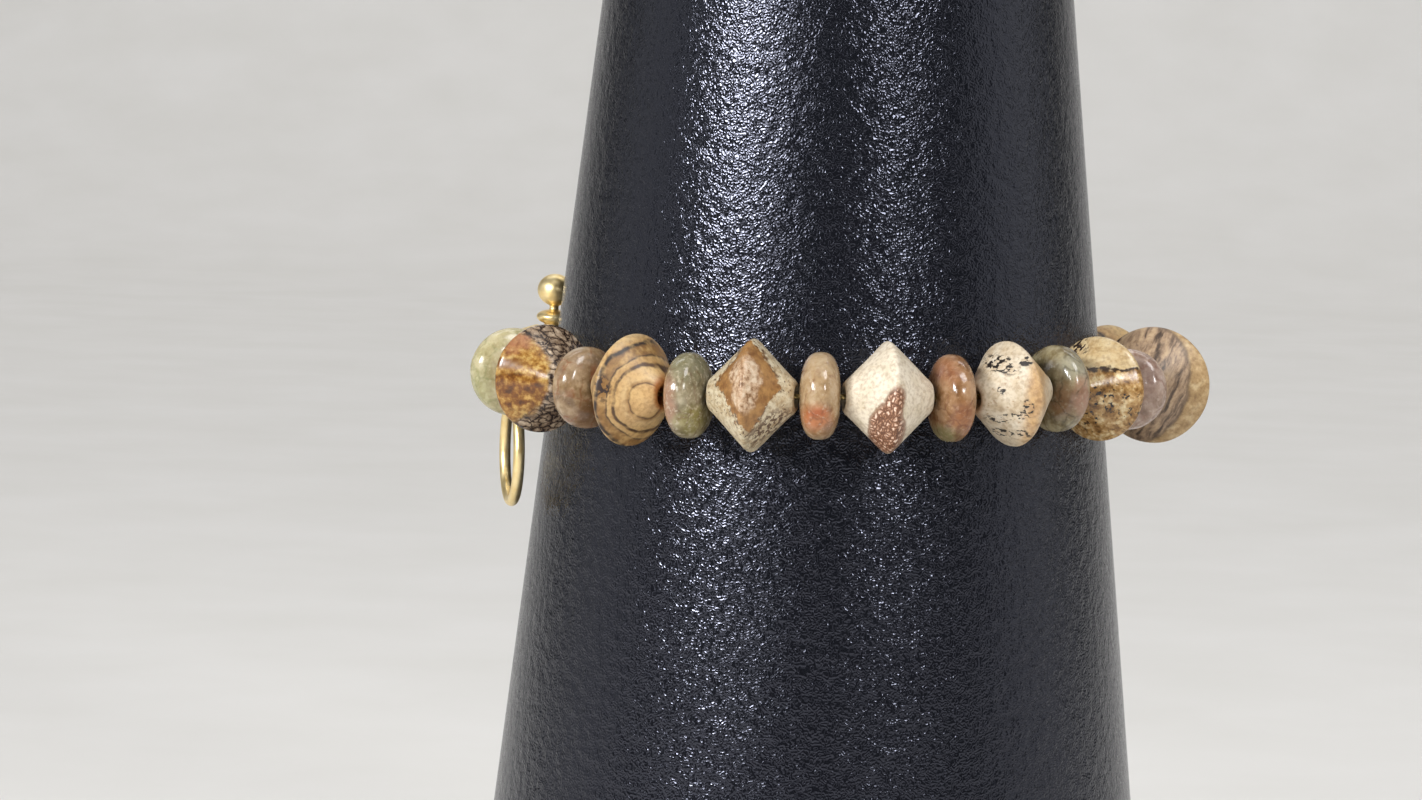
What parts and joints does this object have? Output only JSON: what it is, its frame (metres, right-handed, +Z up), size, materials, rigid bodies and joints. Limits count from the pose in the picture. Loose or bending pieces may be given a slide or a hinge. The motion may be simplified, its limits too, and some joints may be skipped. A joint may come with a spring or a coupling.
{
  "type": "gemstone bracelet on a display cone",
  "caption": "Strung bracelet of biconical jasper and flattened agate beads with a gold-tone toggle clasp, closed round a plain black leatherette display cone.",
  "frame": {"origin": "centre of the display cone's flat foot, on the surface that it stands on", "axes": "+Z up along the cone's axis; -Y is the front of the bracelet, and its clasp is at -X"},
  "size_m": [0.0708, 0.0732, 0.14],
  "materials": {
    "leatherette": "black leatherette with a fine pebble grain and a soft sheen",
    "jasper_rust_brown": "polished picture jasper, rust brown",
    "jasper_banded_yellow": "polished picture jasper, banded yellow",
    "jasper_ringed_cream": "polished picture jasper, ringed cream",
    "jasper_mottled_ivory": "polished picture jasper, mottled ivory",
    "jasper_dashed_cream": "polished picture jasper, dashed cream",
    "jasper_veined_cream": "polished picture jasper, veined cream",
    "jasper_wood_grain": "polished picture jasper, wood grain",
    "agate_pale_green": "polished translucent agate, pale green",
    "agate_pink_grey": "polished translucent agate, pink grey",
    "agate_moss_grey": "polished translucent agate, moss grey",
    "agate_beige": "polished translucent agate, beige",
    "agate_red_brown": "polished translucent agate, red brown",
    "agate_smoky_green": "polished translucent agate, smoky green",
    "agate_pink_brown": "polished translucent agate, pink brown",
    "gold_tone_metal": "polished pale gold-tone plating",
    "beading_wire": "fine gold-tone beading wire"
  },
  "bodies": {
    "root": {"display_cone": "leatherette", "rondelle_01": "agate_pale_green", "bicone_01": "jasper_rust_brown", "rondelle_02": "agate_pink_grey", "bicone_02": "jasper_banded_yellow", "rondelle_03": "agate_moss_grey", "bicone_03": "jasper_ringed_cream", "rondelle_04": "agate_beige", "bicone_04": "jasper_mottled_ivory", "rondelle_05": "agate_red_brown", "bicone_05": "jasper_dashed_cream", "rondelle_06": "agate_smoky_green", "bicone_06": "jasper_veined_cream", "rondelle_07": "agate_pink_brown", "bicone_07": "jasper_wood_grain", "rondelle_08": "agate_pale_green", "bicone_08": "jasper_rust_brown", "rondelle_09": "agate_pink_grey", "bicone_09": "jasper_banded_yellow", "rondelle_10": "agate_moss_grey", "bicone_10": "jasper_ringed_cream", "rondelle_11": "agate_beige", "bicone_11": "jasper_mottled_ivory", "rondelle_12": "agate_red_brown", "bicone_12": "jasper_dashed_cream", "rondelle_13": "agate_smoky_green", "bicone_13": "jasper_veined_cream", "rondelle_14": "agate_pink_brown", "bicone_14": "jasper_wood_grain", "rondelle_15": "agate_pale_green", "crimp_ring_side": "gold_tone_metal", "crimp_bar_side": "gold_tone_metal", "toggle_ring": "gold_tone_metal", "toggle_bar": "gold_tone_metal", "clasp_link": "gold_tone_metal", "thread": "beading_wire"}
  },
  "joints": []
}
